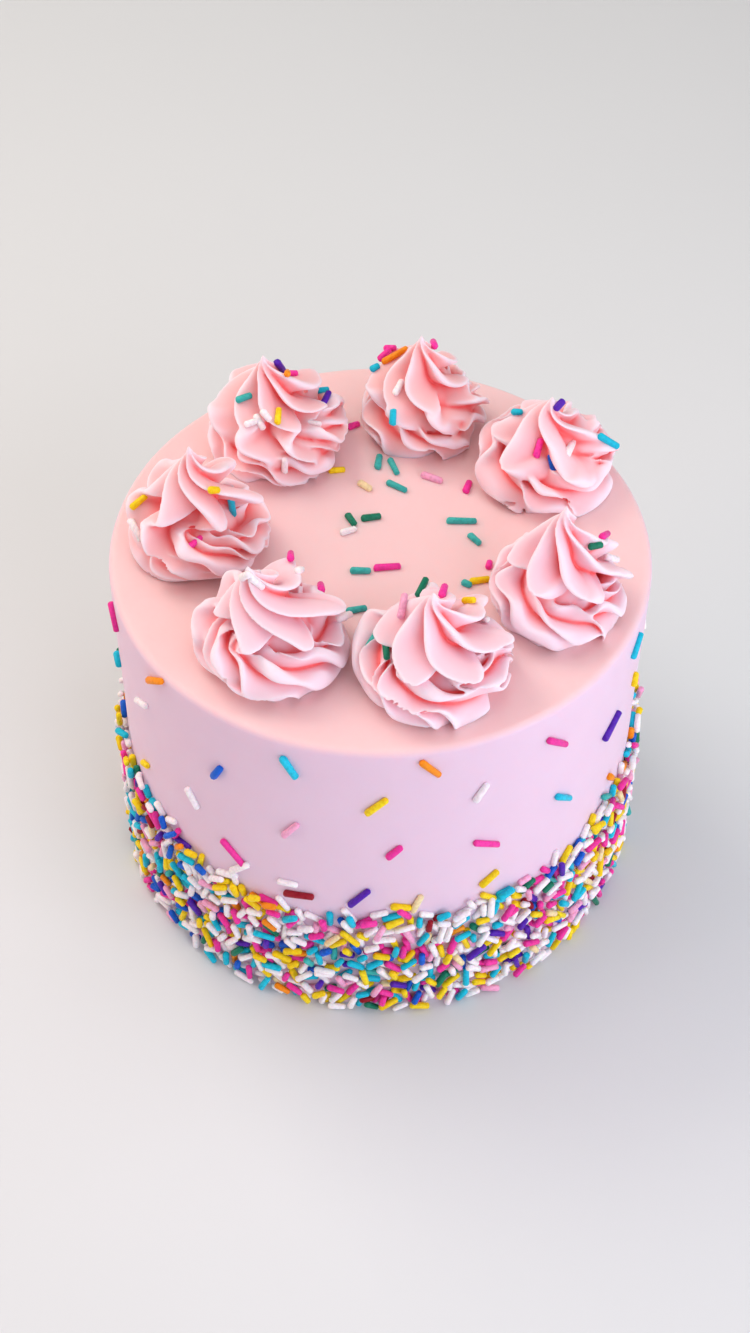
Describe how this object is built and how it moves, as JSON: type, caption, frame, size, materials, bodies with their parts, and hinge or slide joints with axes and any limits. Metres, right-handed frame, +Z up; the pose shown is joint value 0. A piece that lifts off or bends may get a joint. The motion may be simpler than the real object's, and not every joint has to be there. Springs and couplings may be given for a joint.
{
  "type": "frosted layer cake",
  "caption": "Tall round frosted layer cake with a ring of piped icing swirls on top and coloured sugar sprinkles coating its foot.",
  "frame": {"origin": "centre of the cake's flat underside", "axes": "+Z up, -Y towards the front of the cake, +X to its right"},
  "size_m": [0.1718, 0.1718, 0.1715],
  "materials": {
    "icing": "satin",
    "piped_icing": "satin",
    "sprinkles": "satin"
  },
  "bodies": {
    "root": {"cake": "icing", "swirl_1": "piped_icing", "swirl_2": "piped_icing", "swirl_3": "piped_icing", "swirl_4": "piped_icing", "swirl_5": "piped_icing", "swirl_6": "piped_icing", "swirl_7": "piped_icing"}
  },
  "joints": []
}
